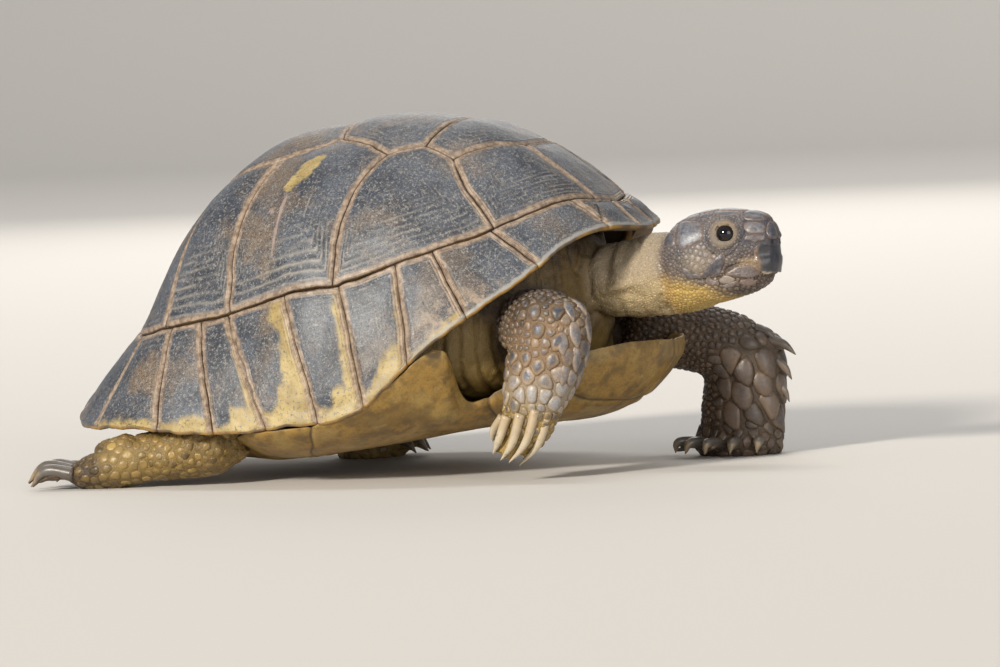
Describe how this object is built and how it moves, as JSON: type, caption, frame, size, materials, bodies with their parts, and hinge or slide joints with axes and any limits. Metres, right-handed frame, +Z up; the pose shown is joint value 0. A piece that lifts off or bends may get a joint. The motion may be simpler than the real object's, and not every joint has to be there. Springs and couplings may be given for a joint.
{
  "type": "tortoise",
  "caption": "Life-size still model of a Mediterranean marginated tortoise walking: long domed shell with a flared rear rim, plated plastron, raised head, scaly legs and claws.",
  "frame": {"origin": "middle of the whole animal's box, on the floor under it", "axes": "+X towards the head along the shell's length, +Y to the animal's left, +Z up from the floor"},
  "size_m": [0.2468, 0.1418, 0.1191],
  "materials": {
    "plate": "dusty blackish-brown horn with growth rings and pale seams",
    "bone": "dry brown bone, seen only in the seams",
    "plastron": "worn yellow-brown horn with dark patches",
    "skin": "wrinkled dry skin, olive brown to yellow",
    "legs": "grey-brown scales with tan skin between",
    "head": "dark smooth scales with pinkish tan edges",
    "horn": "worn horn of the beak and the claws",
    "eye": "wet dark eye"
  },
  "bodies": {
    "root": {"carapace_bone": "bone", "plastron": "plastron", "vertebral_1": "plate", "vertebral_2": "plate", "vertebral_3": "plate", "vertebral_4": "plate", "vertebral_5": "plate", "costal_left_1": "plate", "costal_right_1": "plate", "costal_left_2": "plate", "costal_right_2": "plate", "costal_left_3": "plate", "costal_right_3": "plate", "costal_left_4": "plate", "costal_right_4": "plate", "marginal_left_1": "plate", "marginal_right_1": "plate", "marginal_left_2": "plate", "marginal_right_2": "plate", "marginal_left_3": "plate", "marginal_right_3": "plate", "marginal_left_4": "plate", "marginal_right_4": "plate", "marginal_left_5": "plate", "marginal_right_5": "plate", "marginal_left_6": "plate", "marginal_right_6": "plate", "marginal_left_7": "plate", "marginal_right_7": "plate", "marginal_left_8": "plate", "marginal_right_8": "plate", "marginal_left_9": "plate", "marginal_right_9": "plate", "marginal_left_10": "plate", "marginal_right_10": "plate", "marginal_left_11": "plate", "marginal_right_11": "plate", "nuchal": "plate", "supracaudal": "plate", "trunk": "skin", "head": "head", "beak": "horn", "jaw": "head", "eye_left": "eye", "eye_right": "eye", "neck": "skin", "tail": "skin", "leg_front_right": "legs", "foot_front_right": "legs", "leg_front_left": "legs", "foot_front_left": "legs", "leg_hind_right": "legs", "foot_hind_right": "legs", "leg_hind_left": "legs", "foot_hind_left": "legs"}
  },
  "joints": []
}
